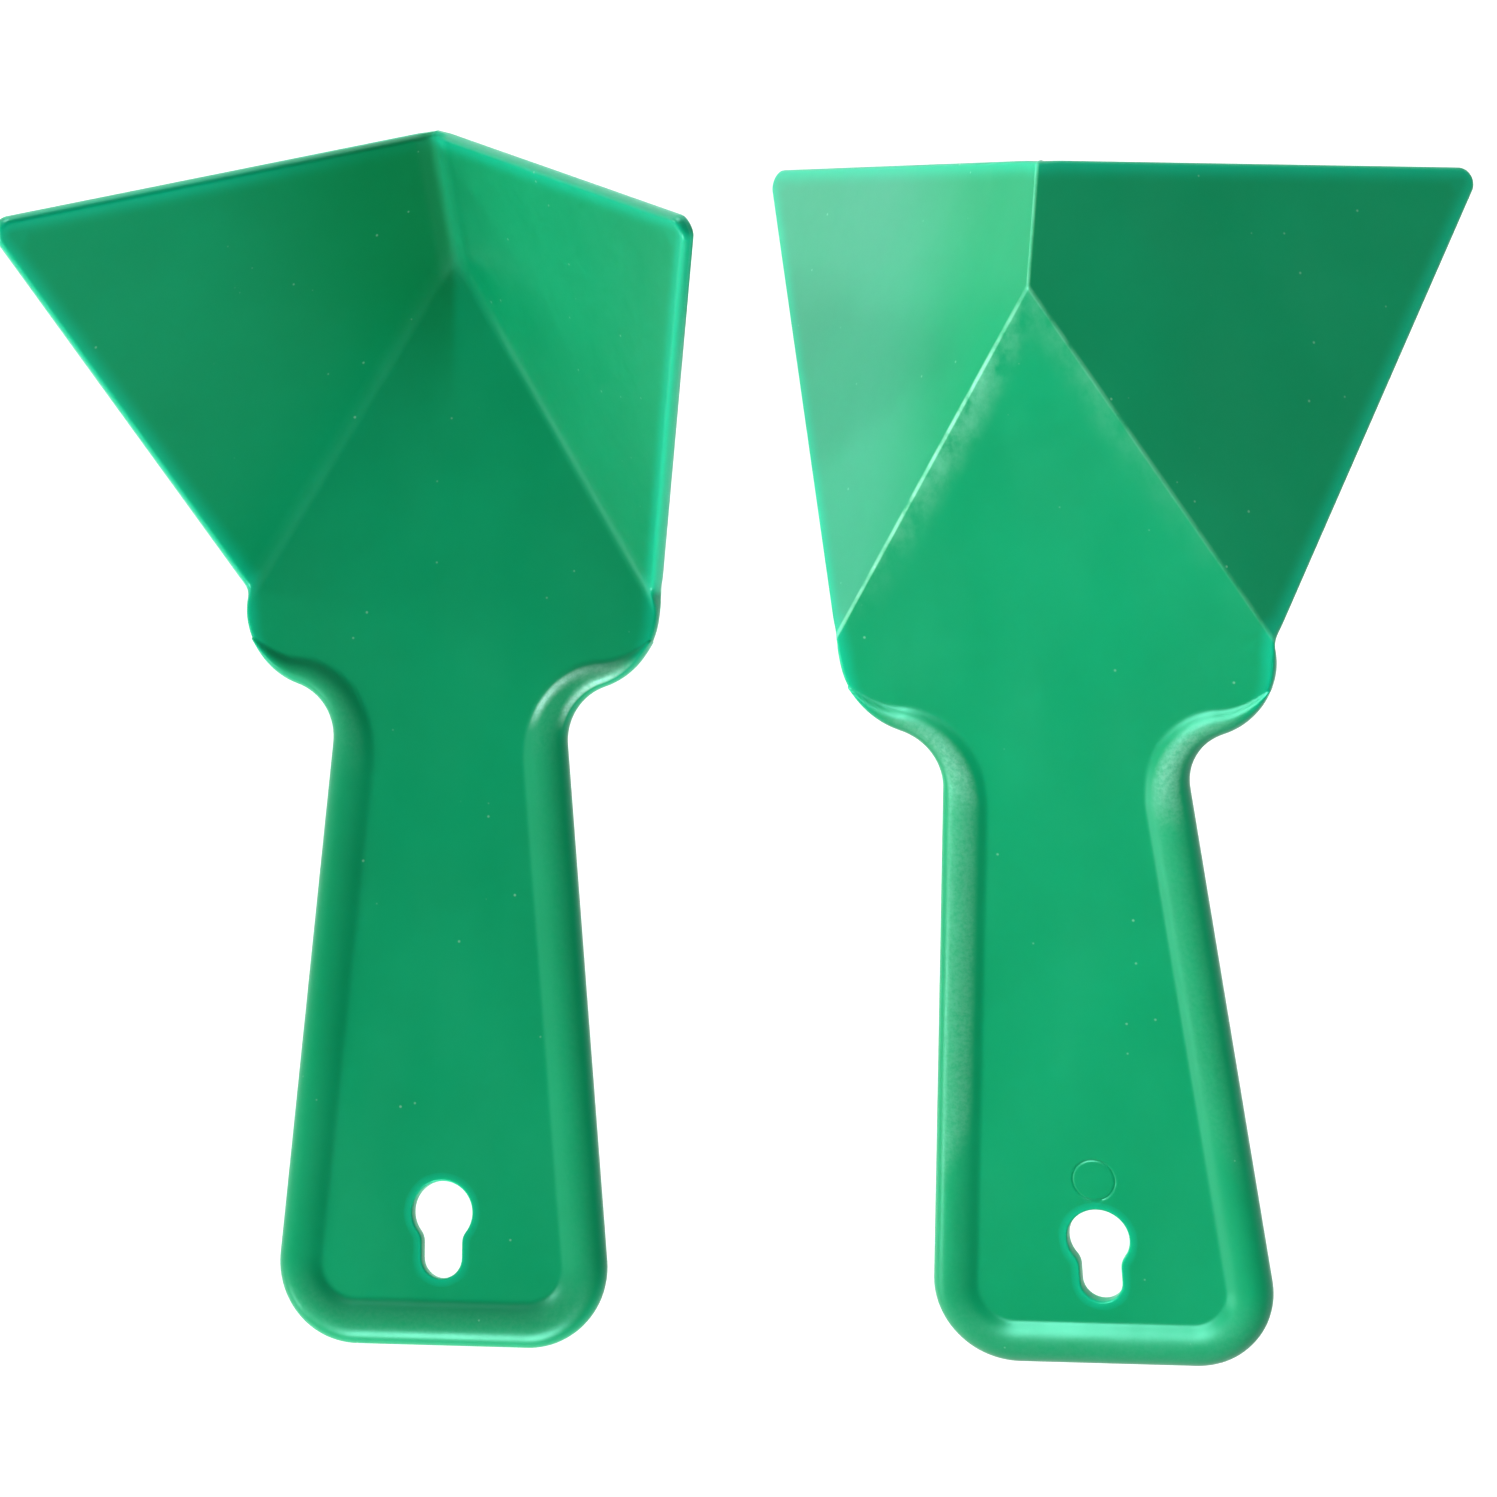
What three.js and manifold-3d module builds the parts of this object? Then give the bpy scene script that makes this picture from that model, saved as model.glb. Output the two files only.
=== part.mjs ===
// A pair of one-piece moulded corner scoops: each is a flat handle plate that ends in a pointed tip,
// with two flat wings folded up along the tip's slanted edges and joined along a ridge, so the three
// plates make a pocket. One scoop lies on its back with the pocket up, the other lies pocket down.
// Millimetres, +Z up. A scoop's own frame: origin on the middle plane of the plate at the handle end,
// +Y along the handle to the head, +Z to the pocket side.
import * as THREE from 'three';
import { ConvexGeometry } from 'three/addons/geometries/ConvexGeometry.js';
import { mergeVertices } from 'three/addons/utils/BufferGeometryUtils.js';
import Module from 'manifold-3d';

// ---- driving dimensions ----
const WALL = 2.4; // thickness of the plate and of both wings
const TIP_Y = 182.4; // point of the plate, where the two folds and the ridge meet
const RIDGE_END = new THREE.Vector3(0, 200, 12.4); // front end of the ridge, middle of the scraping edge
const FOLD_END = new THREE.Vector3(35.3, 124.6, 0); // where a fold runs out at the shoulder
const CORNER_X = 59; // front outer corner of a wing, across
const CORNER_Y = 181.8; // front outer corner of a wing, along
const CORNER_ROUND = 2.6; // rounding of that corner
const END_HALF_WIDTH = 29.5; // half the handle's width, measured at its square end
const SIDE_TAPER = 0.0935; // how much the half width falls for each millimetre along the handle
const END_ROUND = 13.5; // rounding of the handle end's corners
const SHOULDER_ROUND = 13.6; // convex rounding of each shoulder
const SHOULDER_CENTRE = new THREE.Vector2(22, 122);
const NECK_ROUND = 9.2; // concave rounding between shoulder and handle side
const RIM_WIDTH = 7.3; // rounded rim round the handle
const RIM_THICKNESS = 5.2;
const RIM_START_WIDTH = 1.6; // the rim begins this narrow, as a crescent on each shoulder
const RIM_BEGINS = 8; // distance from the fold's end, along the edge, to the crescent's point
const RIM_TAPER = 25; // length over which the rim then reaches its full width
const RIM_GROWTH = 0.68; // under 1, the crescent opens quickly and then slowly
const RIM_SIDES = 12;
const HOLE_Y = 22.1; // keyhole: centre and diameter of the round part, then of the narrow part
const HOLE_DIAMETER = 10.2;
const SLOT_Y = 14.6;
const SLOT_WIDTH = 6.8;
const ARC_STEP = THREE.MathUtils.degToRad(9); // facets on rounded outlines
const STRAIGHT_STEP = 16; // stations on the rim's straight stretches
const SPACING = 112.5; // between the two handles' middle lines

const wasm = await Module();
wasm.setup();

// ---- solids ----
function solidOf(geometry) {
  const bare = geometry.index ? geometry.toNonIndexed() : geometry.clone();
  bare.deleteAttribute('normal');
  bare.deleteAttribute('uv');
  const merged = mergeVertices(bare, 1e-4);
  return new wasm.Manifold(new wasm.Mesh({
    numProp: 3,
    vertProperties: merged.attributes.position.array,
    triVerts: new Uint32Array(merged.index.array),
  }));
}

function geometryOf(solid) {
  const mesh = solid.getMesh();
  const geometry = new THREE.BufferGeometry();
  geometry.setAttribute('position', new THREE.BufferAttribute(new Float32Array(mesh.vertProperties), 3));
  geometry.setIndex(new THREE.BufferAttribute(new Uint32Array(mesh.triVerts), 1));
  const faceted = geometry.toNonIndexed();
  faceted.computeVertexNormals();
  return faceted;
}

// A flat outline made into a board of the given thickness, its middle plane at z = 0.
function board(outline, thickness) {
  const shape = new THREE.Shape(outline);
  const geometry = new THREE.ExtrudeGeometry(shape, { depth: thickness, bevelEnabled: false });
  return geometry.translate(0, 0, -thickness / 2);
}

// Points on an arc from one angle to another, both ends included.
function arc(centre, radius, from, to) {
  const steps = Math.max(2, Math.ceil(Math.abs(to - from) / ARC_STEP));
  const points = [];
  for (let i = 0; i <= steps; i++) {
    const angle = from + ((to - from) * i) / steps;
    points.push(new THREE.Vector2(
      centre.x + radius * Math.cos(angle),
      centre.y + radius * Math.sin(angle),
    ));
  }
  return points;
}

// ---- the handle's outline, right side, from the fold's end at the shoulder to the handle end ----
function rightSide() {
  const sideAngle = Math.atan(SIDE_TAPER);
  const outward = new THREE.Vector2(Math.cos(sideAngle), Math.sin(sideAngle));
  // The neck arc touches the handle's straight side from outside and the shoulder arc from below.
  const reach = SHOULDER_ROUND + NECK_ROUND;
  const sideOffset = END_HALF_WIDTH * Math.cos(sideAngle) + NECK_ROUND;
  const shoulderOffset = SHOULDER_CENTRE.dot(outward);
  const across = sideOffset - shoulderOffset;
  const along = Math.sqrt(reach * reach - across * across);
  const neckCentre = SHOULDER_CENTRE.clone()
    .addScaledVector(outward, across)
    .add(new THREE.Vector2(outward.y, -outward.x).multiplyScalar(along));
  const foldEnd = new THREE.Vector2(FOLD_END.x, FOLD_END.y);
  const start = foldEnd.clone().sub(SHOULDER_CENTRE).angle();
  const meet = Math.atan2(neckCentre.y - SHOULDER_CENTRE.y, neckCentre.x - SHOULDER_CENTRE.x);
  // The end corner's arc touches the straight side and the square end.
  const cornerX = (END_HALF_WIDTH * Math.cos(sideAngle) - END_ROUND - END_ROUND * outward.y) / outward.x;
  const corner = new THREE.Vector2(cornerX, END_ROUND);
  return [
    ...arc(SHOULDER_CENTRE, SHOULDER_ROUND, start, meet),
    ...arc(neckCentre, NECK_ROUND, meet + Math.PI, Math.PI + sideAngle).slice(1),
    ...arc(corner, END_ROUND, sideAngle, -Math.PI / 2),
  ];
}

const mirrored = (points) => points.map((p) => new THREE.Vector2(-p.x, p.y)).reverse();

// The whole edge of the handle, from the right shoulder round the end to the left shoulder, with
// evenly spaced stations on its straight stretches, and the rim's width at each station.
function handleEdge() {
  const side = rightSide();
  const path = [...side, ...mirrored(side)];
  const stations = [path[0]];
  for (let i = 1; i < path.length; i++) {
    const stretch = path[i].distanceTo(path[i - 1]);
    const pieces = Math.max(1, Math.round(stretch / STRAIGHT_STEP));
    for (let k = 1; k <= pieces; k++) {
      stations.push(path[i - 1].clone().lerp(path[i], k / pieces));
    }
  }
  let total = 0;
  const distances = stations.map((p, i) => {
    total += i ? p.distanceTo(stations[i - 1]) : 0;
    return total;
  });
  return stations.map((point, i) => {
    const before = stations[Math.max(0, i - 1)];
    const after = stations[Math.min(stations.length - 1, i + 1)];
    const direction = after.clone().sub(before).normalize();
    // Going clockwise round the handle, the inside is on the right hand.
    const inward = new THREE.Vector2(direction.y, -direction.x);
    const fromEnd = Math.min(distances[i], total - distances[i]);
    const share = THREE.MathUtils.clamp((fromEnd - RIM_BEGINS) / RIM_TAPER, 0, 1);
    const grown = Math.pow(share, RIM_GROWTH);
    return { point, inward, grown };
  });
}

// ---- rim: an oval bar laid along the edge, narrow where it starts on the shoulders ----
function rim(edge) {
  const positions = [];
  const faces = [];
  for (const { point, inward, grown } of edge) {
    const width = THREE.MathUtils.lerp(RIM_START_WIDTH, RIM_WIDTH, grown);
    const thickness = THREE.MathUtils.lerp(WALL, RIM_THICKNESS, grown);
    for (let k = 0; k < RIM_SIDES; k++) {
      const angle = (2 * Math.PI * k) / RIM_SIDES;
      const inset = (width / 2) * (1 - Math.cos(angle));
      const place = point.clone().addScaledVector(inward, inset);
      positions.push(place.x, place.y, (thickness / 2) * Math.sin(angle));
    }
  }
  for (let i = 0; i + 1 < edge.length; i++) {
    for (let k = 0; k < RIM_SIDES; k++) {
      const next = (k + 1) % RIM_SIDES;
      const a = i * RIM_SIDES + k;
      const b = i * RIM_SIDES + next;
      faces.push(a, b, a + RIM_SIDES, b, b + RIM_SIDES, a + RIM_SIDES);
    }
  }
  const last = (edge.length - 1) * RIM_SIDES;
  for (let k = 1; k + 1 < RIM_SIDES; k++) {
    faces.push(0, k + 1, k, last, last + k, last + k + 1);
  }
  const geometry = new THREE.BufferGeometry();
  geometry.setAttribute('position', new THREE.Float32BufferAttribute(positions, 3));
  geometry.setIndex(faces);
  return geometry;
}

// ---- head: the shell between two nested three-sided pockets, trimmed to the three plates' outlines ----
const tip = new THREE.Vector3(0, TIP_Y, 0);
const mirrorX = (v) => new THREE.Vector3(-v.x, v.y, v.z);
const foldRay = FOLD_END.clone().sub(tip);
const ridgeRay = RIDGE_END.clone().sub(tip);
const wingNormal = foldRay.clone().cross(ridgeRay).normalize(); // of the right wing, to the pocket side
const cornerZ = -(wingNormal.x * CORNER_X + wingNormal.y * (CORNER_Y - TIP_Y)) / wingNormal.z;
const wingCorner = new THREE.Vector3(CORNER_X, CORNER_Y, cornerZ);

// The space on the pocket side of the plate and both wings, each pushed by the offset.
function pocketSpace(offset) {
  const rise = (offset * (1 - wingNormal.z)) / wingNormal.y;
  const peak = new THREE.Vector3(0, TIP_Y + rise, offset);
  const far = 8; // times the rays' own lengths, well past the handle end and the wings' corners
  return solidOf(new ConvexGeometry([
    peak,
    peak.clone().addScaledVector(foldRay, far),
    peak.clone().addScaledVector(mirrorX(foldRay), far),
    peak.clone().addScaledVector(ridgeRay, 2 * far),
  ]));
}

function wing() {
  const along = foldRay.clone().normalize();
  const up = wingNormal.clone().cross(along);
  const flat = (v) => {
    const from = v.clone().sub(tip);
    return new THREE.Vector2(from.dot(along), from.dot(up));
  };
  const corner = flat(wingCorner);
  const ridgeEnd = flat(RIDGE_END);
  const foldEnd = flat(FOLD_END);
  const toRidge = ridgeEnd.clone().sub(corner).normalize();
  const toFold = foldEnd.clone().sub(corner).normalize();
  // The rounded front corner: an arc that touches the scraping edge and the outer edge.
  const half = Math.acos(toRidge.dot(toFold)) / 2;
  const middle = toRidge.clone().add(toFold).normalize();
  const centre = corner.clone().addScaledVector(middle, CORNER_ROUND / Math.sin(half));
  const onFold = corner.clone().addScaledVector(toFold, CORNER_ROUND / Math.tan(half)).sub(centre);
  const onRidge = corner.clone().addScaledVector(toRidge, CORNER_ROUND / Math.tan(half)).sub(centre);
  const turn = Math.atan2(onFold.cross(onRidge), onFold.dot(onRidge));
  // The board runs on past the fold and the ridge, where the nested pockets cut it off.
  const past = 1.5 * WALL;
  const outline = [
    foldEnd,
    ...arc(centre, CORNER_ROUND, onFold.angle(), onFold.angle() + turn),
    ridgeEnd.clone().addScaledVector(toRidge, past),
    new THREE.Vector2(-2 * past, -past),
    new THREE.Vector2(foldEnd.x, -past),
  ];
  const placement = new THREE.Matrix4().makeBasis(along, up, wingNormal).setPosition(tip);
  return board(outline, 2 * WALL).applyMatrix4(placement);
}

function plate(edge) {
  const inner = edge.map(({ point, inward, grown }) => {
    const width = THREE.MathUtils.lerp(RIM_START_WIDTH, RIM_WIDTH, grown);
    return point.clone().addScaledVector(inward, width / 2);
  });
  const past = 1.2 * WALL;
  return board([
    new THREE.Vector2(0, TIP_Y + 2 * past),
    new THREE.Vector2(FOLD_END.x + 0.2, FOLD_END.y + past),
    ...inner,
    new THREE.Vector2(-FOLD_END.x - 0.2, FOLD_END.y + past),
  ], 2 * WALL);
}

function keyhole() {
  const round = new THREE.CylinderGeometry(HOLE_DIAMETER / 2, HOLE_DIAMETER / 2, 4 * WALL, 40)
    .rotateX(Math.PI / 2)
    .translate(0, HOLE_Y, 0);
  const half = SLOT_WIDTH / 2;
  const slot = board([
    new THREE.Vector2(half, HOLE_Y),
    new THREE.Vector2(-half, HOLE_Y),
    ...arc(new THREE.Vector2(0, SLOT_Y), half, Math.PI, 2 * Math.PI),
  ], 4 * WALL);
  return solidOf(round).add(solidOf(slot));
}

function scoopSolid() {
  const edge = handleEdge();
  const shell = pocketSpace(-WALL / 2).subtract(pocketSpace(WALL / 2));
  const rightWing = solidOf(wing());
  const outlines = solidOf(plate(edge)).add(rightWing).add(rightWing.mirror([1, 0, 0]));
  return shell.intersect(outlines).add(solidOf(rim(edge))).subtract(keyhole());
}

// ---- placing ----
// The turn about X that sets both the head and the handle end on the floor.
function settledPitch(geometry, from, to) {
  const point = new THREE.Vector3();
  const positions = geometry.attributes.position;
  const lift = (pitch) => {
    const turn = new THREE.Matrix4().makeRotationX(pitch);
    let head = Infinity;
    let handle = Infinity;
    for (let i = 0; i < positions.count; i++) {
      const atHead = positions.getY(i) > SHOULDER_CENTRE.y;
      point.fromBufferAttribute(positions, i).applyMatrix4(turn);
      if (atHead) head = Math.min(head, point.z);
      else handle = Math.min(handle, point.z);
    }
    return head - handle;
  };
  let low = from;
  let high = to;
  for (let i = 0; i < 40; i++) {
    const middle = (low + high) / 2;
    if (lift(middle) < 0) low = middle;
    else high = middle;
  }
  return (low + high) / 2;
}

function scoop(name, geometry, x) {
  const material = new THREE.MeshStandardMaterial({ color: 0x00a070, roughness: 0.35, metalness: 0 });
  const mesh = new THREE.Mesh(geometry, material);
  mesh.name = name;
  geometry.computeBoundingBox();
  mesh.position.set(x, 0, -geometry.boundingBox.min.z);
  return mesh;
}

// Pocket up, a scoop is head-heavy: it rests on the rim at the shoulders and on the tip's underside.
// Pocket down, it rests on both wings' corners and on the rim at the handle end.
const facingUp = geometryOf(scoopSolid());
const facingDown = facingUp.clone().rotateY(Math.PI);
facingUp.rotateX(settledPitch(facingUp, -Math.PI / 4, 0));
facingDown.rotateX(settledPitch(facingDown, 0, Math.PI / 4));

const pair = new THREE.Group();
pair.add(scoop('scoop_pocket_up', facingUp, -SPACING / 2));
pair.add(scoop('scoop_pocket_down', facingDown, SPACING / 2));

// The part's origin is on the floor, below the middle of the pair.
const middle = new THREE.Box3().setFromObject(pair).getCenter(new THREE.Vector3());
for (const mesh of pair.children) {
  mesh.position.x -= middle.x;
  mesh.position.y -= middle.y;
}

export default pair;
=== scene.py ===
"""Looks for a pair of one-piece moulded corner scoops, one lying pocket up, the other pocket down.

A scoop's own frame, in millimetres: origin on the middle plane of the plate at the handle end,
+Y along the handle to the head, +Z to the pocket side. Each scoop is one closed skin. Its rounded
edges and the rim are rings that follow the outline, and the flat plates between them are filled.
"""

import math

import bpy
import numpy as np
from mathutils import Matrix, Vector
from mathutils.geometry import delaunay_2d_cdt


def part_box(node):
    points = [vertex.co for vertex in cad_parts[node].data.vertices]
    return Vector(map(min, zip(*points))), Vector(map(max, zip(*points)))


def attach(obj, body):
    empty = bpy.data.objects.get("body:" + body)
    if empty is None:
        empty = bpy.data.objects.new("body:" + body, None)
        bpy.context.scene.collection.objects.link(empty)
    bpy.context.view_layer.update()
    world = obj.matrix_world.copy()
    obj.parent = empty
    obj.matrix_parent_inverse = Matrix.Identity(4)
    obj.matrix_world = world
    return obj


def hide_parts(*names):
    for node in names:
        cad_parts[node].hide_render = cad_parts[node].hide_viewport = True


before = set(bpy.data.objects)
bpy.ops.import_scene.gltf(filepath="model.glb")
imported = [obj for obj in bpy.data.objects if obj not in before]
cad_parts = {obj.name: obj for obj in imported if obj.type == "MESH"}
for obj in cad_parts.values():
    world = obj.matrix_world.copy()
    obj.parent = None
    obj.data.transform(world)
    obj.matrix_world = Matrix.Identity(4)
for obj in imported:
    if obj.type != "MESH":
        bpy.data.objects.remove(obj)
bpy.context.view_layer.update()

MM = 0.001

# ---- driving dimensions of a scoop, as in the CAD part ----
WALL = 2.4
HALF = WALL / 2
TIP = np.array((0.0, 182.4, 0.0))
RIDGE_END = np.array((0.0, 200.0, 12.4))
FOLD_END = np.array((35.3, 124.6, 0.0))
CORNER_X = 59.0
CORNER_Y = 181.8
CORNER_ROUND = 2.6
END_HALF_WIDTH = 29.5
SIDE_TAPER = 0.0935
END_ROUND = 13.5
SHOULDER_ROUND = 13.6
SHOULDER_CENTRE = np.array((22.0, 122.0))
NECK_ROUND = 9.2
RIM_WIDTH = 7.4
RIM_HALF_THICKNESS = 2.6
RIM_BEGINS = 8.0
RIM_TAPER = 25.0
RIM_GROWTH = 0.68  # under 1, the crescent opens quickly and then slowly
HOLE_Y = 22.1
HOLE_RADIUS = 5.1
SLOT_Y = 14.6
SLOT_HALF_WIDTH = 3.4

# ---- finer shape that only shows here ----
NOTCH = 1.7  # rounding where a wing's outer edge meets the shoulder
EDGE_ROUND = 0.85  # how far in from an edge its rounding reaches
EDGE_SQUARENESS = 2.6  # 2 is a round edge, more is squarer
KEYHOLE_EDGE_ROUND = 0.4
KEYHOLE_SQUARENESS = 3.2
KEYHOLE_FLAT_RINGS = (0.6, 0.9, 1.4)  # distances from the hole
KEYHOLE_NECK_ROUND = 3.0
CROWN_SHARE = 0.45  # the rim's crown lies this share of its width from the edge
INSIDE_FOLD_BLEND = 2.2  # soft fillets inside the pocket
INSIDE_RIDGE_BLEND = 2.4
OUTSIDE_FOLD_BLEND = 0.4  # crisp folds on the back
OUTSIDE_RIDGE_BLEND = 0.7
MIDDLE_FOLD_BLEND = 0.8  # of the surface halfway through the wall
MIDDLE_RIDGE_BLEND = 1.0
EJECTOR_Y = 32.5  # round mark of an ejector pin on the back
EJECTOR_RADIUS = 3.5
EJECTOR_GROOVE = 0.13
EJECTOR_GROOVE_WIDTH = 0.16
EJECTOR_RINGS = (1.6, 2.9, 3.15, 3.28, 3.38, 3.46, 3.54, 3.62, 3.72, 3.85, 4.1)
HEAD_BAND = 2.4  # width of the ringed band on the head, then on the handle
HANDLE_BAND = 8.6
ROUNDING_RINGS = 8
ROUNDING_SHARES = [1 - math.cos(k * math.pi / 2 / ROUNDING_RINGS) for k in range(ROUNDING_RINGS + 1)]
BAND_RINGS = (0.1, 0.21, 0.33, 0.44, 0.55, 0.63, 0.7, 0.755, 0.8, 0.85, 0.92, 1.0)
INSIDE_CREASE_ROWS = (0, 0.25, 0.5, 0.75, 1.0, 1.25, 1.5, 1.7, 2.2)  # distances from a crease
OUTSIDE_CREASE_ROWS = (0, 0.06, 0.12, 0.18, 0.25, 0.32, 0.6, 1.2, 2.2)
CREASE_LENGTH = 70.0
FILL_SPACING = 3.0
FAR = 60.0  # a gap of this much or more reads as far from every edge or fold


def unit(v):
    return v / np.linalg.norm(v)


def smooth_step(low, high, value):
    t = np.clip((value - low) / (high - low), 0, 1)
    return t * t * (3 - 2 * t)


def smooth_max(a, b, blend):
    """The larger of a and b, rounded where they are closer than blend."""
    near = np.maximum(blend - np.abs(a - b), 0) / np.maximum(blend, 1e-9)
    return np.maximum(a, b) + near * near * blend / 4


wing_normal = unit(np.cross(FOLD_END - TIP, RIDGE_END - TIP))  # of the right wing
SLOPE_X = -wing_normal[0] / wing_normal[2]
SLOPE_Y = -wing_normal[1] / wing_normal[2]
FOLD_STEEPNESS = math.hypot(SLOPE_X, SLOPE_Y)
CORNER = np.array((CORNER_X, CORNER_Y, SLOPE_X * CORNER_X + SLOPE_Y * (CORNER_Y - TIP[1])))


def wing_height(across, y):
    return SLOPE_X * across + SLOPE_Y * (y - TIP[1])


def skin_height(x, y, offset, fold_blend, ridge_blend):
    """Height of the plate and wings, pushed out along their own normals by offset."""
    across = smooth_max(x, -x, ridge_blend)
    return smooth_max(offset, wing_height(across, y) + offset / wing_normal[2], fold_blend)


def middle_height(x, y):
    return skin_height(x, y, 0.0, MIDDLE_FOLD_BLEND, MIDDLE_RIDGE_BLEND)


def inside_height(x, y):
    return skin_height(x, y, HALF, INSIDE_FOLD_BLEND, INSIDE_RIDGE_BLEND)


def outside_height(x, y):
    from_ring = np.hypot(x, y - EJECTOR_Y) - EJECTOR_RADIUS
    groove = np.exp(-((from_ring / EJECTOR_GROOVE_WIDTH) ** 2))
    return skin_height(x, y, -HALF, OUTSIDE_FOLD_BLEND, OUTSIDE_RIDGE_BLEND) + EJECTOR_GROOVE * groove


# ---- outline of the middle surface ----
def line(start, end, step=0.1):
    count = max(2, int(np.linalg.norm(end - start) / step))
    return start + np.linspace(0, 1, count + 1)[:, None] * (end - start)


def arc(centre, radius, start, end, step=0.1):
    count = max(4, int(abs(end - start) * radius / step))
    angle = np.linspace(start, end, count + 1)
    points = np.zeros((count + 1, 3))
    points[:, 0] = centre[0] + radius * np.cos(angle)
    points[:, 1] = centre[1] + radius * np.sin(angle)
    return points


def wing_corner():
    """The rounded front outer corner of the right wing, from the scraping edge to the outer edge."""
    to_ridge = unit(RIDGE_END - CORNER)
    to_fold = unit(FOLD_END - CORNER)
    half = math.acos(to_ridge @ to_fold) / 2
    centre = CORNER + unit(to_ridge + to_fold) * CORNER_ROUND / math.sin(half)
    start = CORNER + to_ridge * CORNER_ROUND / math.tan(half) - centre
    end = CORNER + to_fold * CORNER_ROUND / math.tan(half) - centre
    share = np.linspace(0, 1, 60)[:, None]
    turn = math.pi - 2 * half
    return centre + (np.sin((1 - share) * turn) * start + np.sin(share * turn) * end) / math.sin(turn)


def right_pieces():
    """The right half of the outline, from the ridge's front end to the middle of the handle end."""
    side_angle = math.atan(SIDE_TAPER)
    outward = np.array((math.cos(side_angle), math.sin(side_angle)))
    reach = SHOULDER_ROUND + NECK_ROUND
    across = END_HALF_WIDTH * outward[0] + NECK_ROUND - SHOULDER_CENTRE @ outward
    along = math.sqrt(reach * reach - across * across)
    neck = SHOULDER_CENTRE + outward * across + np.array((outward[1], -outward[0])) * along
    start = math.atan2(*(FOLD_END[:2] - SHOULDER_CENTRE)[::-1]) - NOTCH / SHOULDER_ROUND
    meet = math.atan2(*(neck - SHOULDER_CENTRE)[::-1])
    end_x = (END_HALF_WIDTH * outward[0] - END_ROUND - END_ROUND * outward[1]) / outward[0]
    end_corner = np.array((end_x, END_ROUND))
    corner = wing_corner()
    notch_start = FOLD_END + unit(CORNER - FOLD_END) * NOTCH
    shoulder = arc(SHOULDER_CENTRE, SHOULDER_ROUND, start, meet)
    share = np.linspace(0, 1, 40)[:, None]
    notch = (1 - share) ** 2 * notch_start + 2 * share * (1 - share) * FOLD_END + share**2 * shoulder[0]
    neck_arc = arc(neck, NECK_ROUND, meet + math.pi, math.pi + side_angle)
    end_arc = arc(end_corner, END_ROUND, side_angle, -math.pi / 2)
    return [
        line(RIDGE_END, corner[0]),
        corner,
        line(corner[-1], notch_start),
        notch,
        shoulder,
        neck_arc,
        line(neck_arc[-1], end_arc[0]),
        end_arc,
        line(end_arc[-1], np.zeros(3)),
    ]


def right_outline():
    """Stations along the right half: points, inward vectors, and how far the rim has grown."""
    pieces = right_pieces()
    path = np.vstack([pieces[0]] + [piece[1:] for piece in pieces[1:]])
    lengths = [np.linalg.norm(np.diff(piece, axis=0), axis=1).sum() for piece in pieces]
    joins = np.concatenate(([0], np.cumsum(lengths)))
    distance = np.concatenate(([0], np.cumsum(np.linalg.norm(np.diff(path, axis=0), axis=1))))
    fold_at = (joins[3] + joins[4]) / 2
    tangent = np.gradient(path, distance, axis=0)
    tangent /= np.linalg.norm(tangent, axis=1)[:, None]
    on_wing = smooth_step(2.0, -2.0, distance - fold_at)[:, None]
    normal = on_wing * wing_normal + (1 - on_wing) * np.array((0, 0, 1))
    inward = np.cross(tangent, normal)
    inward /= np.linalg.norm(inward, axis=1)[:, None]
    # At the ridge and the fold the rings turn together along the crease.
    down_ridge = unit(TIP - RIDGE_END)
    edge = unit(CORNER - RIDGE_END)
    at_ridge = down_ridge / math.sin(math.acos(down_ridge @ edge))
    share = np.clip(distance / 3.0, 0, 1)[:, None]
    inward = at_ridge * (1 - share) + inward * share
    along_fold = unit(TIP - FOLD_END)
    at_notch = tangent[np.argmin(np.abs(distance - fold_at))]
    at_fold = along_fold / math.sin(math.acos(abs(along_fold @ at_notch)))
    share = smooth_step(0, 3.5, np.abs(distance - fold_at))[:, None]
    inward = at_fold * (1 - share) + inward * share
    # Stations are close together at the creases and corners.
    step = np.full(len(distance), 2.2)
    for low, high, finest in (
        (0, 0, 0.12),
        (joins[1], joins[2], 0.3),
        (fold_at - 1.5, fold_at + 1.5, 0.16),
        (fold_at + RIM_BEGINS - 1, fold_at + RIM_BEGINS + 3, 0.2),
        (joins[4], joins[6], 0.8),
        (joins[7], joins[8], 0.9),
    ):
        away = np.maximum(np.maximum(low - distance, distance - high), 0)
        step = np.minimum(step, finest + 0.2 * away)
    effort = np.concatenate(([0], np.cumsum(np.diff(distance) / (0.5 * (step[1:] + step[:-1])))))
    count = int(math.ceil(effort[-1]))
    chosen = np.interp(np.linspace(0, effort[-1], count + 1), effort, distance)
    points = np.stack([np.interp(chosen, distance, path[:, k]) for k in range(3)], axis=1)
    vectors = np.stack([np.interp(chosen, distance, inward[:, k]) for k in range(3)], axis=1)
    grown = np.clip((chosen - fold_at - RIM_BEGINS) / RIM_TAPER, 0, 1) ** RIM_GROWTH
    widened = smooth_step(0.5, RIM_BEGINS + 0.6 * RIM_TAPER, chosen - fold_at)
    return points, vectors, grown, widened


def whole_outline():
    points, vectors, grown, widened = right_outline()
    flip = np.array((-1, 1, 1))
    back = slice(-2, 0, -1)
    return (
        np.vstack((points, points[back] * flip)),
        np.vstack((vectors, vectors[back] * flip)),
        np.concatenate((grown, grown[back])),
        np.concatenate((widened, widened[back])),
    )


def rounded_edge(distance, reach, squareness):
    """Share of the half wall at a distance in from an edge."""
    inner = np.clip(1 - distance / reach, 0, 1)
    return (1 - inner**squareness) ** (1 / squareness)


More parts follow.
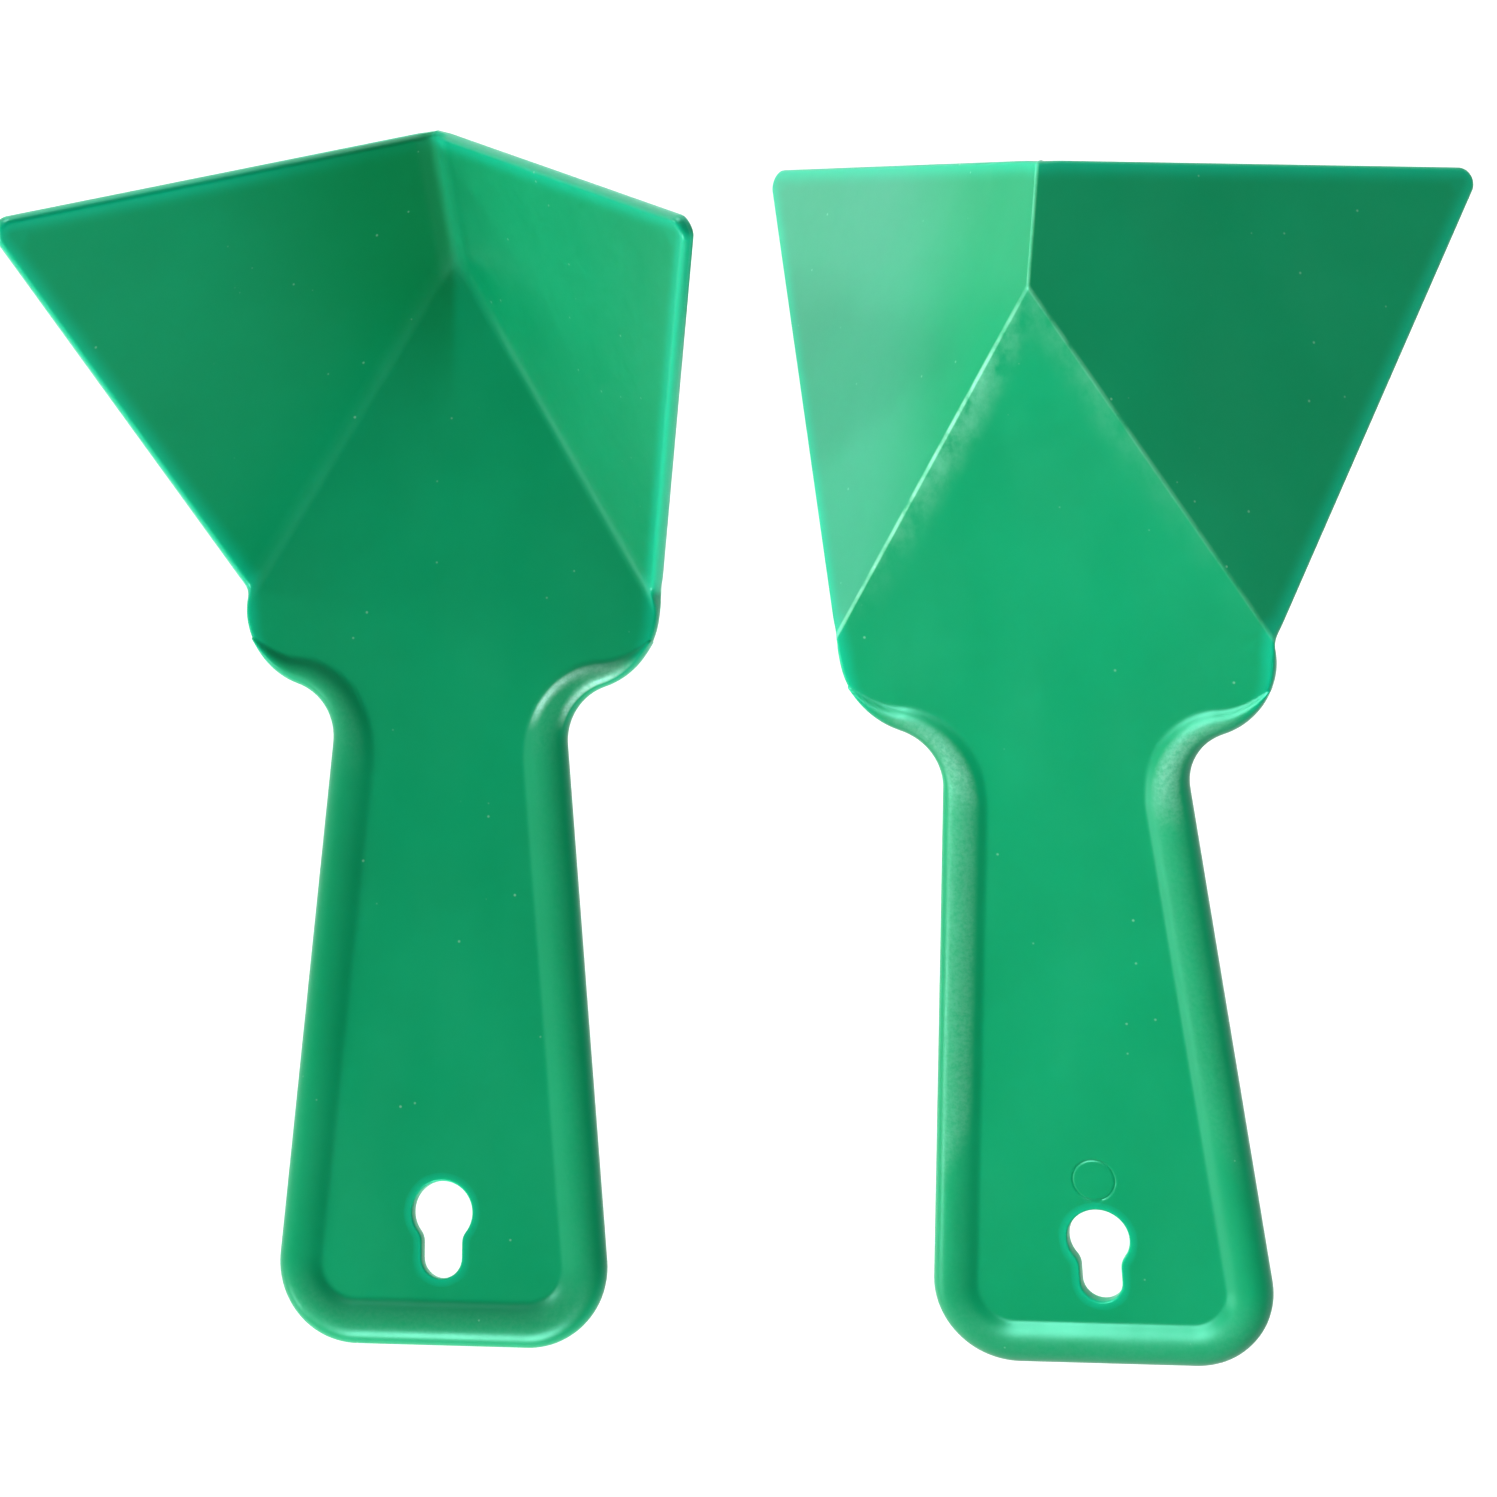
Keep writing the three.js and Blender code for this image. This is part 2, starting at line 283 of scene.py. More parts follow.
def half_thickness(distance, grown):
    """Half the wall at a distance in from the outline, with the rounded rim where it has grown."""
    plain = HALF * rounded_edge(distance, EDGE_ROUND, EDGE_SQUARENESS)
    width = np.maximum(RIM_WIDTH * grown, 1e-3)
    crown = CROWN_SHARE * width
    height = HALF + (RIM_HALF_THICKNESS - HALF) * grown**0.8
    outer = height * np.sqrt(np.clip(1 - (1 - distance / crown) ** 2, 0, 1))
    inner = HALF + (height - HALF) * (1 - ((distance - crown) / (width - crown)) ** 2)
    rim = np.where(distance < crown, outer, np.maximum(inner, -5))
    rim = np.where(grown > 1e-3, rim, -5)
    return smooth_max(plain, rim, 0.3 * grown * np.clip(distance, 0, 1))


def lean(x, y):
    """The flat part of the local normal: none on the plate, the wing's own on a wing."""
    from_fold = wing_height(np.abs(x), y) / FOLD_STEEPNESS
    on_wing = smooth_step(-2.3, 1.7, from_fold)
    side = smooth_step(0, 2.5, np.abs(x)) * np.sign(x)
    return on_wing * wing_normal[0] * side, on_wing * wing_normal[1]


def band_rings(height_of, sign):
    """Rings of points from the outline inwards, on one face: places, distances in, and rim heights."""
    points, vectors, grown, widened = whole_outline()
    reach = EDGE_ROUND * (1 - widened) + CROWN_SHARE * RIM_WIDTH * widened
    band = HEAD_BAND * (1 - widened) + HANDLE_BAND * widened
    rings = []
    heights = []
    distances = [reach * share for share in ROUNDING_SHARES]
    distances += [reach + (band - reach) * share for share in BAND_RINGS]
    for distance in distances:
        middle = points + vectors * distance[:, None]
        middle[:, 2] = middle_height(middle[:, 0], middle[:, 1])
        lean_x, lean_y = lean(middle[:, 0], middle[:, 1])
        full = np.empty_like(middle)
        full[:, 0] = middle[:, 0] + sign * HALF * lean_x
        full[:, 1] = middle[:, 1] + sign * HALF * lean_y
        full[:, 2] = height_of(full[:, 0], full[:, 1])
        thickness = half_thickness(distance, grown)
        heights.append(thickness - HALF)
        rings.append(middle + thickness[:, None] / HALF * (full - middle))
    return rings, [distance + 2.0 * widened for distance in distances], heights


def keyhole_outline():
    """Points round the keyhole, counter-clockwise, with their normals away from the hole."""
    neck_x = SLOT_HALF_WIDTH + KEYHOLE_NECK_ROUND
    drop = math.sqrt((HOLE_RADIUS + KEYHOLE_NECK_ROUND) ** 2 - neck_x**2)
    neck_y = HOLE_Y - drop
    angle = math.atan2(drop, neck_x)
    step = 0.5
    right = np.vstack([
        arc((0, SLOT_Y), SLOT_HALF_WIDTH, -math.pi / 2, 0, step)[:-1],
        line(np.array((SLOT_HALF_WIDTH, SLOT_Y, 0)), np.array((SLOT_HALF_WIDTH, neck_y, 0)), step)[:-1],
        arc((neck_x, neck_y), KEYHOLE_NECK_ROUND, math.pi, math.pi - angle, step)[:-1],
        arc((0, HOLE_Y), HOLE_RADIUS, -angle, math.pi / 2, step),
    ])
    path = np.vstack((right, right[-2:0:-1] * np.array((-1, 1, 1))))
    ahead = np.roll(path, -1, axis=0) - path
    behind = path - np.roll(path, 1, axis=0)
    ahead /= np.linalg.norm(ahead, axis=1)[:, None]
    behind /= np.linalg.norm(behind, axis=1)[:, None]
    along = ahead + behind
    along /= np.linalg.norm(along, axis=1)[:, None]
    outward = np.stack((along[:, 1], -along[:, 0], np.zeros(len(path))), axis=1)
    return path, outward


def keyhole_rings(sign):
    """The same three lists as band_rings, from the keyhole's edge outwards on one face."""
    path, outward = keyhole_outline()
    distances = [KEYHOLE_EDGE_ROUND * share for share in ROUNDING_SHARES] + list(KEYHOLE_FLAT_RINGS)
    rings = []
    for distance in distances:
        ring = path + outward * distance
        ring[:, 2] = sign * HALF * rounded_edge(distance, KEYHOLE_EDGE_ROUND, KEYHOLE_SQUARENESS)
        rings.append(ring)
    flat = [np.zeros(len(path))] * len(rings)
    return rings, [np.full(len(path), distance + 1.0) for distance in distances], flat


# ---- filling between the rings ----
def inside(points, polygon):
    """Which points lie inside a closed polygon."""
    a = polygon
    b = np.roll(polygon, -1, axis=0)
    rises = (a[None, :, 1] > points[:, None, 1]) != (b[None, :, 1] > points[:, None, 1])
    with np.errstate(divide="ignore", invalid="ignore"):
        at = a[:, 0] + (points[:, None, 1] - a[:, 1]) * (b[:, 0] - a[:, 0]) / (b[:, 1] - a[:, 1])
    return np.sum(rises & (points[:, None, 0] < at), axis=1) % 2 == 1


def gap(points, polygon):
    """Distance from each point to a closed polygon."""
    a = polygon
    edge = np.roll(polygon, -1, axis=0) - a
    to = points[:, None, :] - a[None]
    share = np.clip((to * edge).sum(2) / np.maximum((edge * edge).sum(1), 1e-12), 0, 1)
    return np.linalg.norm(to - share[..., None] * edge, axis=2).min(1)


def ray_gap(points, start, direction):
    to = points - start
    along = np.maximum(to @ direction, 0)
    return np.linalg.norm(to - along[:, None] * direction, axis=1)


def creases(offset):
    """Where the two folds and the ridge meet on a face, and the three directions they run in."""
    apex = np.array((0.0, TIP[1] + offset * (1 - wing_normal[2]) / wing_normal[1]))
    fold = unit((FOLD_END - TIP)[:2])
    return apex, [fold, fold * np.array((-1, 1)), np.array((0.0, 1.0))]


def crease_points(offset, rows):
    """Rows of points along each crease, kept where that crease is the nearest one."""
    apex, directions = creases(offset)
    stations = [0.0]
    while stations[-1] < CREASE_LENGTH:
        stations.append(stations[-1] + min(1.3, 0.12 + 0.16 * stations[-1]))
    along = np.array(stations)
    offsets = np.array(sorted({-r for r in rows} | set(rows)))
    found = [apex[None]]
    for k, direction in enumerate(directions):
        side = np.array((-direction[1], direction[0]))
        grid = apex + along[1:, None, None] * direction + offsets[None, :, None] * side
        reach = np.broadcast_to(np.abs(offsets), grid.shape[:2]).ravel()
        grid = grid.reshape(-1, 2)
        keep = np.ones(len(grid), bool)
        for j, other in enumerate(directions):
            if j != k:
                keep &= ray_gap(grid, apex, other) > reach + 0.04
        found.append(grid[keep])
    return np.vstack(found)


def hex_grid(low, high, spacing):
    rows = []
    y = low[1]
    odd = False
    while y <= high[1]:
        x = np.arange(low[0] + (spacing / 2 if odd else 0), high[0], spacing)
        rows.append(np.stack((x, np.full(len(x), y)), axis=1))
        y += spacing * math.sqrt(3) / 2
        odd = not odd
    return np.vstack(rows)


def enclosed(triangles, walls, first_filler):
    """The triangles reached from a filling point without crossing a wall."""
    closed = {tuple(sorted(wall)) for wall in walls}
    beside = {}
    for t, corners in enumerate(triangles.tolist()):
        for k in range(3):
            edge = tuple(sorted((corners[k], corners[k - 1])))
            if edge not in closed:
                beside.setdefault(edge, []).append(t)
    neighbours = [[] for _ in range(len(triangles))]
    for pair in beside.values():
        if len(pair) == 2:
            neighbours[pair[0]].append(pair[1])
            neighbours[pair[1]].append(pair[0])
    start = int(np.argmax(triangles.max(1) >= first_filler))
    reached = {start}
    waiting = [start]
    while waiting:
        for t in neighbours[waiting.pop()]:
            if t not in reached:
                reached.add(t)
                waiting.append(t)
    return triangles[sorted(reached)]


def filling(outer, hole, offset, rows, extra):
    """Points between the outer ring and the keyhole's ring, and triangles that join them all."""
    apex, directions = creases(offset)
    lines = crease_points(offset, rows)
    grid = hex_grid(outer.min(0), outer.max(0), FILL_SPACING)
    nearest = np.min([ray_gap(grid, apex, d) for d in directions], axis=0)
    grid = grid[nearest > rows[-1] + 0.9]
    near_extra = np.full(len(grid), 9.0)
    if len(extra):
        near_extra = np.abs(np.hypot(grid[:, 0], grid[:, 1] - EJECTOR_Y) - EJECTOR_RADIUS)
    grid = grid[near_extra > 1.4]
    lines = lines[gap(lines, outer) > 0.2]
    grid = grid[gap(grid, outer) > 1.2]
    points = np.vstack([lines, grid] + ([extra] if len(extra) else []))
    points = points[inside(points, outer)]
    clear = inside(points, hole) | (gap(points, hole) < 0.5)
    points = points[~clear]
    everything = np.vstack((outer, hole, points))
    n = len(outer)
    m = len(hole)
    edges = [(i, (i + 1) % n) for i in range(n)] + [(n + i, n + (i + 1) % m) for i in range(m)]
    result = delaunay_2d_cdt([Vector(p) for p in everything], edges, [], 0, 1e-5, True)
    if len(result[0]) != len(everything):
        raise RuntimeError("the filling's points ran together")
    places = np.array([origin[0] for origin in result[3]])
    triangles = enclosed(places[np.array(result[2])], edges, n + m)
    a, b, c = (everything[triangles[:, k]] for k in range(3))
    turn = (b[:, 0] - a[:, 0]) * (c[:, 1] - a[:, 1]) - (b[:, 1] - a[:, 1]) * (c[:, 0] - a[:, 0])
    triangles[turn < 0] = triangles[turn < 0][:, ::-1]
    return points, triangles


def ejector_points():
    """Rings of points, closest together at the round mark's groove."""
    found = [(0.0, EJECTOR_Y)]
    for radius in EJECTOR_RINGS:
        count = 72 if radius > 2 else 20
        for i in range(count):
            angle = 2 * math.pi * i / count
            found.append((radius * math.cos(angle), EJECTOR_Y + radius * math.sin(angle)))
    return np.array(found)


# ---- one scoop's skin in its own frame ----
def scoop_skin():
    """Vertices, faces, and what the material reads at each vertex.

    edge_gap is the distance in from an edge, a little more on the handle's rim. fold_gap is the
    distance from a crease on the back, below zero on the wings, and FAR all over the pocket side.
    rim_height is how far the skin stands above the flat plate's half wall.
    """
    vertices = []
    edge_gap = []
    rim_height = []
    faces = []
    count = 0

    def add(points, gaps, heights):
        nonlocal count
        first = count
        vertices.append(points)
        edge_gap.append(gaps)
        rim_height.append(heights)
        count += len(points)
        return np.arange(first, count)

    def join(outer_ids, inner_ids, upward):
        quads = np.stack((outer_ids, inner_ids, np.roll(inner_ids, -1), np.roll(outer_ids, -1)), axis=1)
        faces.extend((quads if upward else quads[:, ::-1]).tolist())

    shared = None
    back_from = 0
    for upward in (True, False):
        sign = 1 if upward else -1
        height_of = inside_height if upward else outside_height
        rows = INSIDE_CREASE_ROWS if upward else OUTSIDE_CREASE_ROWS
        if not upward:
            back_from = count
        rings, gaps, heights = band_rings(height_of, sign)
        hole_rings, hole_gaps, hole_heights = keyhole_rings(sign)
        if shared is None:
            shared = (add(rings[0], gaps[0], heights[0]), add(hole_rings[0], hole_gaps[0], hole_heights[0]))
        last = []
        bands = ((shared[0], rings, gaps, heights), (shared[1], hole_rings, hole_gaps, hole_heights))
        for first, these, distances, rises in bands:
            ids = first
            for ring, distance, rise in zip(these[1:], distances[1:], rises[1:]):
                new = add(ring, distance, rise)
                join(ids, new, upward)
                ids = new
            last.append(ids)
        outer = rings[-1][:, :2]
        hole = hole_rings[-1][:, :2]
        extra = np.zeros((0, 2)) if upward else ejector_points()
        points, triangles = filling(outer, hole, sign * HALF, rows, extra)
        height = height_of(points[:, 0], points[:, 1])
        away = np.minimum(gap(points, outer) + HEAD_BAND, FAR)
        inner = add(np.column_stack((points, height)), away, np.zeros(len(points)))
        ids = np.concatenate((last[0], last[1], inner))
        faces.extend(ids[triangles if upward else triangles[:, ::-1]].tolist())
    vertices = np.vstack(vertices)
    apex, directions = creases(-HALF)
    fold_gap = np.min([ray_gap(vertices[:, :2], apex, d) for d in directions], axis=0)
    across = np.abs(vertices[:, 0])
    fold_gap = np.where(wing_height(across, vertices[:, 1] - apex[1] + TIP[1]) > 0, -fold_gap, fold_gap)
    fold_gap[:back_from] = FAR
    labelled = {
        "edge_gap": np.concatenate(edge_gap),
        "fold_gap": fold_gap,
        "rim_height": np.concatenate(rim_height),
    }
    return vertices, faces, labelled


def largest_flat(node):
    """Normal of the largest flat of a CAD node, the back of its plate."""
    areas = {}
    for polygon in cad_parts[node].data.polygons:
        key = tuple(round(c, 3) for c in polygon.normal)
        total, weighted = areas.get(key, (0.0, Vector()))
        areas[key] = (total + polygon.area, weighted + polygon.normal * polygon.area)
    return max(areas.values(), key=lambda entry: entry[0])[1].normalized()


def build_scoop(name, node, body, skin, material):
    """The skin turned and set down where the CAD node lies."""
    vertices, faces, labelled = skin
    normal = largest_flat(node)
    pocket_down = normal.z > 0
    pitch = -math.atan2(normal.y, normal.z) if pocket_down else math.atan2(normal.y, -normal.z)
    turn = Matrix.Rotation(pitch, 3, "X")
    if pocket_down:
        turn = turn @ Matrix.Rotation(math.pi, 3, "Y")
    placed = vertices @ np.array(turn).T * MM
    low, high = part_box(node)
    placed[:, 0] += (low.x + high.x) / 2
    placed[:, 1] += low.y - placed[:, 1].min()
    placed[:, 2] += low.z - placed[:, 2].min()
    mesh = bpy.data.meshes.new(name)
    mesh.from_pydata(placed.tolist(), [], faces)
    mesh.polygons.foreach_set("use_smooth", [True] * len(mesh.polygons))
    for label, values in labelled.items():
        attribute = mesh.attributes.new(label, "FLOAT", "POINT")
        attribute.data.foreach_set("value", values.astype(np.float32))
    own = mesh.attributes.new("own_place", "FLOAT_VECTOR", "POINT")
    own.data.foreach_set("vector", (vertices * MM).astype(np.float32).ravel())
    mesh.materials.append(material)
    mesh.validate()
    scoop = bpy.data.objects.new(name, mesh)
    bpy.context.scene.collection.objects.link(scoop)
    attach(scoop, body)
    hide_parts(node)
    return scoop


# ---- materials ----
# Places are metres in a scoop's own frame, gaps and the rim's height millimetres, colours linear.
DEEP_GREEN = (0.0, 0.180, 0.066, 1)
GREEN = (0.0, 0.200, 0.076, 1)
FRESH_GREEN = (0.0, 0.24, 0.10, 1)
# Painted sheen on the outer face of one wing.
PAINTED_WING_SHEEN = (0.036, 0.225, 0.132, 1)
LIT_EDGE = (0.0, 0.40, 0.24, 1)
# Painted shade inside the pocket, beside the ridge.
PAINTED_SHADE_BESIDE_RIDGE = (0.0, 0.125, 0.030, 1)
# Partly wear, partly a painted sheen beside the back folds.
SHEEN_AND_RUB_BESIDE_FOLDS = (0.22, 0.52, 0.38, 1)
# Partly wear, partly a painted highlight along the crests of the back folds.
HIGHLIGHT_AND_WEAR_ON_CREST = (0.30, 0.62, 0.48, 1)
# Partly wear, partly a painted highlight on the rim's crown.
HIGHLIGHT_AND_WEAR_ON_RIM = (0.26, 0.52, 0.42, 1)
# Painted highlight on the rim at one shoulder.
PAINTED_SHOULDER_HIGHLIGHT = (0.50, 0.80, 0.70, 1)
DUST = (0.30, 0.55, 0.42, 1)
SPECULAR_TINT = (0.3, 1.0, 0.8, 1)
PLASTIC_IOR = 1.49
GRAIN_HEIGHT = 0.000005
WAVE_HEIGHT = 0.00014
FLOOR_GREY = (0.93, 0.93, 0.93, 1)


class Nodes:
    """A small helper that makes and links shader nodes."""

    def __init__(self, name):
        self.material = bpy.data.materials.new(name)
        self.material.use_nodes = True
        self.tree = self.material.node_tree
        self.shader = self.tree.nodes["Principled BSDF"]

    def make(self, kind, inputs=None, **settings):
        node = self.tree.nodes.new(kind)
        for key, value in settings.items():
            setattr(node, key, value)
        for key, value in (inputs or {}).items():
            self.put(node.inputs[key], value)
        return node

    def put(self, socket, value):
        if isinstance(value, bpy.types.NodeSocket):
            self.tree.links.new(value, socket)
        else:
            socket.default_value = value

    def math(self, operation, *values):
        node = self.make("ShaderNodeMath", operation=operation)
        for k, value in enumerate(values):
            self.put(node.inputs[k], value)
        return node.outputs[0]

    def product(self, first, *others):
        for other in others:
            first = self.math("MULTIPLY", first, other)
        return first

    def noise(self, place, scale, detail=2.0, roughness=0.5):
        inputs = {"Vector": place, "Scale": scale, "Detail": detail, "Roughness": roughness}
        return self.make("ShaderNodeTexNoise", inputs).outputs["Fac"]

    def stretched(self, place, scale):
        return self.make("ShaderNodeMapping", {"Vector": place, "Scale": scale}).outputs[0]

    def ramp(self, value, low, high, to_low=0.0, to_high=1.0):
        inputs = {0: value, 1: low, 2: high, 3: to_low, 4: to_high}
        node = self.make("ShaderNodeMapRange", inputs, interpolation_type="SMOOTHSTEP")
        return node.outputs[0]

    def mix(self, share, first, second):
        node = self.make("ShaderNodeMix", data_type="RGBA")
        self.put(node.inputs[0], share)
        self.put(node.inputs[6], first)
        self.put(node.inputs[7], second)
        return node.outputs[2]

    def read(self, attribute, output="Fac"):
        return self.make("ShaderNodeAttribute", attribute_name=attribute).outputs[output]


class ScoopNodes(Nodes):
    """The nodes that every part of the scoop's material reads."""

    def __init__(self, name):
        super().__init__(name)
        self.place = self.read("own_place", "Vector")
        self.edge_gap = self.read("edge_gap")
        self.fold_gap = self.read("fold_gap")
        self.rim_height = self.read("rim_height")
        apart = self.make("ShaderNodeSeparateXYZ", {"Vector": self.place})
        self.across = apart.outputs[0]
        self.along = apart.outputs[1]
        self.cloudy = self.noise(self.place, 28.0, 3.0)
        self.fine = self.noise(self.place, 900.0, 2.0)
        self.grains = self.noise(self.place, 1300.0, 4.0, 0.7)
        # 1 on the pocket side, and also on the handle's back, far from the folds.
        self.pocket_side = self.ramp(self.fold_gap, FAR - 5, FAR - 1)


def plain_green(n):
    colour = n.mix(n.ramp(n.cloudy, 0.3, 0.7), DEEP_GREEN, GREEN)
    return n.mix(n.product(n.fine, 0.10), colour, FRESH_GREEN)


def painted_wing_sheen(n, colour):
    """Painted sheen: the outer face of one wing is painted paler, standing in for light reflected off it,
    and fades towards the ridge.
    """
    wing_sheen = n.product(n.ramp(n.across, 0.008, 0.036), n.ramp(n.fold_gap, 0.0, -0.4))
    wing_sheen = n.product(wing_sheen, n.ramp(n.cloudy, 0.2, 0.7, 0.8, 1.0))
    return n.mix(wing_sheen, colour, PAINTED_WING_SHEEN)


def lit_edges(n, colour):
    """Paler near the edges, as where light comes through the wall."""
    return n.mix(n.product(n.ramp(n.edge_gap, 3.4, 0.4), 0.46), colour, LIT_EDGE)


def sheen_and_wear_on_folds(n, colour):
    """On the back the folds and the tip are pale, most of all on the plate's side: partly rubbing wear,
    partly a painted sheen in a band beside the folds and a painted highlight along their crests.
    """
    streaks = n.noise(n.stretched(n.place, (260.0, 180.0, 260.0)), 1.0, 4.0, 0.65)
    one_side = n.ramp(n.across, -0.002, 0.012, 0.25, 1.0)
    band = n.product(n.ramp(n.fold_gap, 6.0, 0.3), n.ramp(n.fold_gap, -0.1, 0.3))
    band = n.product(band, n.ramp(n.along, 0.120, 0.180), n.ramp(streaks, 0.25, 0.75), one_side)
    colour = n.mix(n.product(band, 0.5), colour, SHEEN_AND_RUB_BESIDE_FOLDS)
    crest = n.ramp(n.math("ABSOLUTE", n.fold_gap), 0.42, 0.12)
    crest = n.product(crest, n.ramp(streaks, 0.2, 0.6))
    crest = n.product(crest, n.product(one_side, n.ramp(n.along, 0.110, 0.185, 0.5, 1.0)))
    return n.mix(n.product(crest, 0.6), colour, HIGHLIGHT_AND_WEAR_ON_CREST)


def painted_shade_beside_ridge(n, colour):
    """Painted shade: inside the pocket one wing is painted a darker green beside the ridge, where the other
    wing shades it.
    """
    ridge_shade = n.product(n.ramp(n.across, -0.036, -0.004), n.ramp(n.across, 0.001, -0.001))
    ridge_shade = n.product(ridge_shade, n.ramp(n.along, 0.150, 0.178), n.pocket_side)
    return n.mix(n.product(ridge_shade, 0.75), colour, PAINTED_SHADE_BESIDE_RIDGE)


def rim_highlight_and_wear(n, colour):
    """The rim's crown is paler, most of all on the back of the shoulders: partly handling wear, partly
    painted highlights where the rim would catch the light.
    """
    crown = n.ramp(n.rim_height, 0.5, 1.25)
    shoulders = n.product(n.ramp(n.along, 0.090, 0.104), n.ramp(n.along, 0.121, 0.112))
    handle_end = n.ramp(n.along, 0.016, 0.006)
    more_on_one_side = n.ramp(n.across, 0.010, 0.016, 0.12, 0.4)
    where_pale = n.math("MAXIMUM", n.math("MAXIMUM", shoulders, handle_end), more_on_one_side)
    near_back_folds = n.ramp(n.fold_gap, FAR - 1, FAR - 5, 0.15, 1.0)
    rim_shine_and_wear = n.product(crown, where_pale)
    rim_shine_and_wear = n.product(rim_shine_and_wear, n.ramp(n.grains, 0.25, 0.75, 0.35, 1.0), near_back_folds)
    return n.mix(n.product(rim_shine_and_wear, 0.42), colour, HIGHLIGHT_AND_WEAR_ON_RIM)


def painted_shoulder_highlight(n, colour):
    """Painted highlight: a grainy pale patch on the rim's inner slope on the pocket side, at one shoulder,
    where the light would glint.
    """
    slope = n.product(n.ramp(n.rim_height, 0.12, 0.45), n.ramp(n.rim_height, 1.1, 0.6))
    spot = n.product(n.ramp(n.along, 0.1015, 0.1065), n.ramp(n.along, 0.1145, 0.1095))
    spot = n.product(spot, n.ramp(n.across, 0.008, 0.012))
    shoulder_highlight = n.product(n.product(slope, spot), n.pocket_side)
    shoulder_highlight = n.product(shoulder_highlight, n.ramp(n.grains, 0.3, 0.7, 0.6, 1.0))
    return n.mix(n.product(shoulder_highlight, 0.5), colour, PAINTED_SHOULDER_HIGHLIGHT)


def dusty(n, colour):
    """Specks of dust in one cell in ten."""
    specks = n.make("ShaderNodeTexVoronoi", {"Vector": n.place, "Scale": 420.0, "Randomness": 1.0})
    small = n.ramp(specks.outputs["Distance"], 0.12, 0.05)
    draw = n.make("ShaderNodeSeparateColor", {"Color": specks.outputs["Color"]}).outputs[0]
    dust = n.product(small, n.math("GREATER_THAN", draw, 0.90))
    return n.mix(n.product(dust, 0.30), colour, DUST)


def uneven_gloss(n):
    """Roughness, with the fillet along the inside of the ridge duller than the flats beside it."""
    smears = n.noise(n.stretched(n.place, (60.0, 25.0, 60.0)), 1.0, 4.0, 0.6)
    roughness = n.ramp(smears, 0.3, 0.75, 0.30, 0.40)
    roughness = n.math("ADD", roughness, n.product(n.fine, 0.05))
    fillet = n.ramp(n.math("ABSOLUTE", n.across), 0.0032, 0.0014)
    fillet = n.product(fillet, n.ramp(n.along, 0.174, 0.182), n.pocket_side)
    return n.math("ADD", roughness, n.product(fillet, 0.45))


def moulded_surface(n):
    grain = n.product(n.noise(n.place, 2400.0, 2.0), GRAIN_HEIGHT)
    waves = n.product(n.noise(n.place, 75.0, 2.0), WAVE_HEIGHT)
    height = n.math("ADD", grain, waves)
    return n.make("ShaderNodeBump", {"Height": height, "Strength": 1.0, "Distance": 1.0}).outputs[0]


def green_plastic():
    n = ScoopNodes("green_plastic")
    colour = plain_green(n)
    for layer in (
        painted_wing_sheen,
        lit_edges,
        sheen_and_wear_on_folds,
        painted_shade_beside_ridge,
        rim_highlight_and_wear,
        painted_shoulder_highlight,
        dusty,
    ):
        colour = layer(n, colour)
    n.put(n.shader.inputs["Base Color"], colour)
    n.put(n.shader.inputs["Roughness"], uneven_gloss(n))
    n.put(n.shader.inputs["Normal"], moulded_surface(n))
    n.shader.inputs["Specular Tint"].default_value = SPECULAR_TINT
    n.shader.inputs["Subsurface Weight"].default_value = 0.45
    n.shader.inputs["Subsurface Radius"].default_value = (0.2, 1.0, 0.6)
    n.shader.inputs["Subsurface Scale"].default_value = 0.003
    n.shader.inputs["IOR"].default_value = PLASTIC_IOR
    return n.material


def pale_floor():
    n = Nodes("pale_floor")
    n.put(n.shader.inputs["Base Color"], FLOOR_GREY)
    n.put(n.shader.inputs["Roughness"], 0.9)
    n.shader.inputs["Specular IOR Level"].default_value = 0.1
    return n.material


plastic = green_plastic()
skin = scoop_skin()
scoop_up = build_scoop("pocket_up_scoop", "scoop_pocket_up", "pocket_up", skin, plastic)
scoop_down = build_scoop("pocket_down_scoop", "scoop_pocket_down", "pocket_down", skin, plastic)

# ---- floor, light and camera ----
FLOOR_SIZE = 6.0
floor_mesh = bpy.data.meshes.new("floor")
half = FLOOR_SIZE / 2
corners = [(-half, -half, 0), (half, -half, 0), (half, half, 0), (-half, half, 0)]
floor_mesh.from_pydata(corners, [], [(0, 1, 2, 3)])
floor_mesh.materials.append(pale_floor())
floor = bpy.data.objects.new("floor", floor_mesh)
bpy.context.scene.collection.objects.link(floor)

LIGHT_DISTANCE = 1.6
SKY_LEAST = 0.12
SKY_MORE_ON_LEFT = 0.95
world = bpy.data.worlds.new("studio")
bpy.context.scene.world = world
world.use_nodes = True
sky = world.node_tree
direction = sky.nodes.new("ShaderNodeSeparateXYZ")
sky.links.new(sky.nodes.new("ShaderNodeTexCoord").outputs["Generated"], direction.inputs[0])


def sky_ramp(socket, to_low, to_high, low, high):
    node = sky.nodes.new("ShaderNodeMapRange")
    for key, value in (("From Min", low), ("From Max", high), ("To Min", to_low), ("To Max", to_high)):
        node.inputs[key].default_value = value
    sky.links.new(socket, node.inputs["Value"])
    return node.outputs[0]


low_down = sky_ramp(direction.outputs["Z"], 1.0, 0.0, 0.0, 1.0)
on_left = sky_ramp(direction.outputs["X"], SKY_MORE_ON_LEFT, 0.0, -1.0, 1.0)
both = sky.nodes.new("ShaderNodeMath")
both.operation = "MULTIPLY_ADD"
sky.links.new(low_down, both.inputs[0])
sky.links.new(on_left, both.inputs[1])
both.inputs[2].default_value = SKY_LEAST
sky.nodes["Background"].inputs["Color"].default_value = (1, 1, 1, 1)
sky.links.new(both.outputs[0], sky.nodes["Background"].inputs["Strength"])


def collection_of(name, members):
    made = bpy.data.collections.new(name)
    for member in members:
        made.objects.link(member)
    return made


